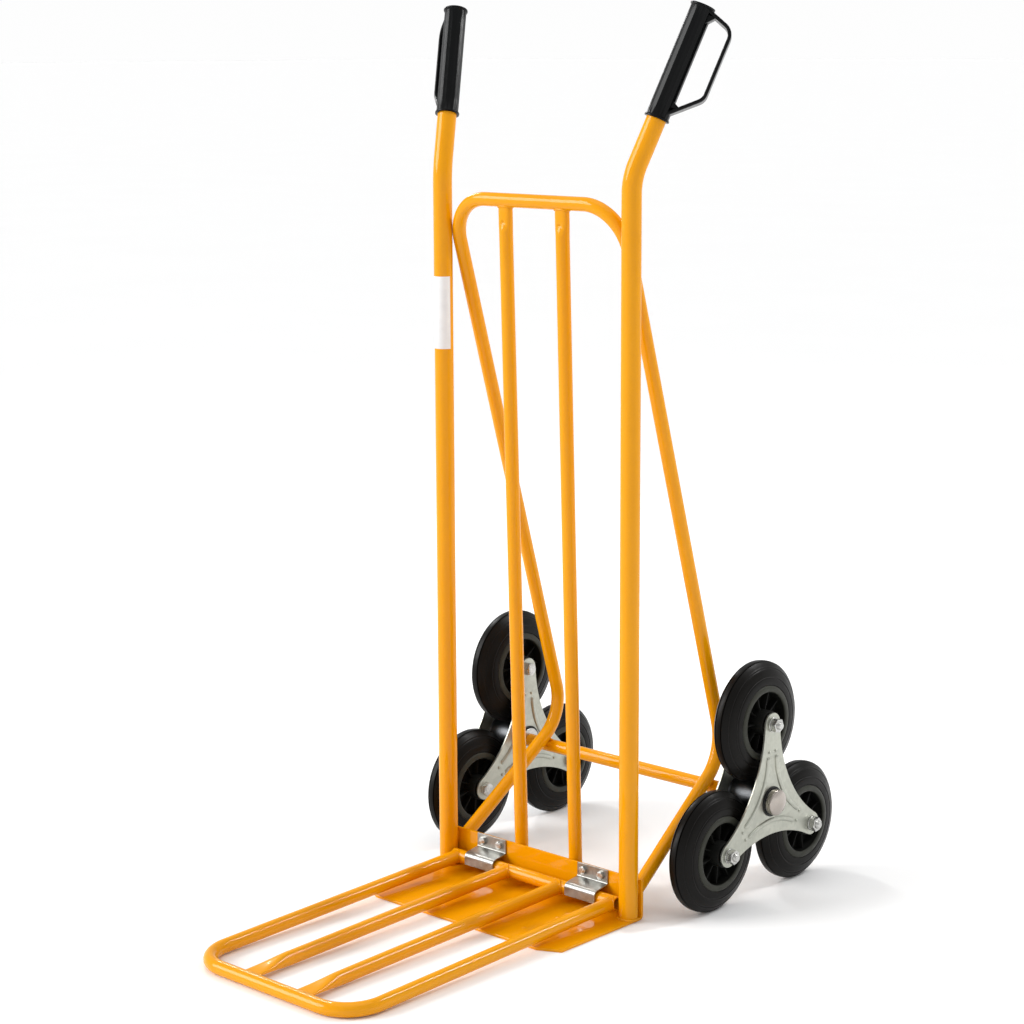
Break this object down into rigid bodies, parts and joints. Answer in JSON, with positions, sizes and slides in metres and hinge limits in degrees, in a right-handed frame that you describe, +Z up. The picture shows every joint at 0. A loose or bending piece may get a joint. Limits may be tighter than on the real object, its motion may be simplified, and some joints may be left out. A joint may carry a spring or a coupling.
{
  "type": "stair-climbing hand truck",
  "caption": "Tubular steel hand truck with guarded grips, a folding toe frame on a fixed toe plate, and three-wheel stars that climb stairs.",
  "frame": {"origin": "on the underside of the toe plate at ground level, midway between the axes of the two uprights", "axes": "+Z up; +X along the axle, towards the right-hand upright as seen from the toe; the toe points along -Y and the axle lies behind along +Y"},
  "size_m": [0.5168, 0.8431, 1.1575],
  "materials": {
    "orange_paint": "glossy yellow-orange powder coat",
    "zinc_plate": "bright zinc plated pressed steel, satin",
    "zinc_fastener": "zinc plated fasteners, satin",
    "chrome_cap": "polished",
    "steel_rod": "bright drawn steel",
    "dark_tube": "gloss black",
    "grip_plastic": "black, semi-gloss moulded",
    "bush_plastic": "black, satin moulded",
    "rim_plastic": "black-green, satin moulded",
    "tyre_rubber": "black, satin solid rubber",
    "label_film": "blank white film"
  },
  "bodies": {
    "frame": {"upright_left": "orange_paint", "upright_right": "orange_paint", "brace_hoop": "orange_paint", "centre_bar_left": "orange_paint", "centre_bar_right": "orange_paint", "axle_tube": "orange_paint", "axle_rod": "steel_rod", "axle_inner_washers": "zinc_plate", "axle_outer_washers": "zinc_fastener", "axle_caps": "chrome_cap", "toe_plate": "orange_paint", "hinge_clip_left": "zinc_plate", "hinge_clip_right": "zinc_plate", "clip_bolts": "zinc_fastener", "clip_nuts": "zinc_fastener", "grip_left": "grip_plastic", "grip_right": "grip_plastic", "blank_label": "label_film"},
    "toe_frame": {"toe_hinge_tube": "orange_paint", "toe_loop": "orange_paint", "toe_slat_left": "orange_paint", "toe_slat_right": "orange_paint"},
    "star_left": {"star_inner_plate_left": "zinc_plate", "star_outer_plate_left": "zinc_plate", "star_hub_tube_left": "dark_tube", "axle_bushes_left": "bush_plastic", "wheel_bolts_left": "zinc_fastener", "wheel_washers_left": "zinc_fastener", "wheel_nuts_left": "zinc_fastener", "wheel_spacers_left": "steel_rod"},
    "wheel_left_top": {"tyre_left_top": "tyre_rubber", "rim_left_top": "rim_plastic", "wheel_bush_left_top": "bush_plastic"},
    "wheel_left_front": {"tyre_left_front": "tyre_rubber", "rim_left_front": "rim_plastic", "wheel_bush_left_front": "bush_plastic"},
    "wheel_left_rear": {"tyre_left_rear": "tyre_rubber", "rim_left_rear": "rim_plastic", "wheel_bush_left_rear": "bush_plastic"},
    "star_right": {"star_inner_plate_right": "zinc_plate", "star_outer_plate_right": "zinc_plate", "star_hub_tube_right": "dark_tube", "axle_bushes_right": "bush_plastic", "wheel_bolts_right": "zinc_fastener", "wheel_washers_right": "zinc_fastener", "wheel_nuts_right": "zinc_fastener", "wheel_spacers_right": "steel_rod"},
    "wheel_right_top": {"tyre_right_top": "tyre_rubber", "rim_right_top": "rim_plastic", "wheel_bush_right_top": "bush_plastic"},
    "wheel_right_front": {"tyre_right_front": "tyre_rubber", "rim_right_front": "rim_plastic", "wheel_bush_right_front": "bush_plastic"},
    "wheel_right_rear": {"tyre_right_rear": "tyre_rubber", "rim_right_rear": "rim_plastic", "wheel_bush_right_rear": "bush_plastic"}
  },
  "joints": [
    {"name": "toe_fold", "type": "hinge", "parent": "frame", "child": "toe_frame", "pos_m": [0, -0.004, 0.02], "axis": [-1, 0, 0], "range_deg": [0, 88]},
    {"name": "star_turn_left", "type": "hinge", "parent": "frame", "child": "star_left", "pos_m": [-0.2151, 0.191, 0.132], "axis": [1, 0, 0], "continuous": true},
    {"name": "wheel_spin_left_top", "type": "hinge", "parent": "star_left", "child": "wheel_left_top", "pos_m": [-0.2151, 0.191, 0.236], "axis": [1, 0, 0], "continuous": true},
    {"name": "wheel_spin_left_front", "type": "hinge", "parent": "star_left", "child": "wheel_left_front", "pos_m": [-0.2151, 0.10093, 0.08], "axis": [1, 0, 0], "continuous": true},
    {"name": "wheel_spin_left_rear", "type": "hinge", "parent": "star_left", "child": "wheel_left_rear", "pos_m": [-0.2151, 0.28107, 0.08], "axis": [1, 0, 0], "continuous": true},
    {"name": "star_turn_right", "type": "hinge", "parent": "frame", "child": "star_right", "pos_m": [0.2151, 0.191, 0.132], "axis": [1, 0, 0], "continuous": true},
    {"name": "wheel_spin_right_top", "type": "hinge", "parent": "star_right", "child": "wheel_right_top", "pos_m": [0.2151, 0.191, 0.236], "axis": [1, 0, 0], "continuous": true},
    {"name": "wheel_spin_right_front", "type": "hinge", "parent": "star_right", "child": "wheel_right_front", "pos_m": [0.2151, 0.10093, 0.08], "axis": [1, 0, 0], "continuous": true},
    {"name": "wheel_spin_right_rear", "type": "hinge", "parent": "star_right", "child": "wheel_right_rear", "pos_m": [0.2151, 0.28107, 0.08], "axis": [1, 0, 0], "continuous": true}
  ]
}
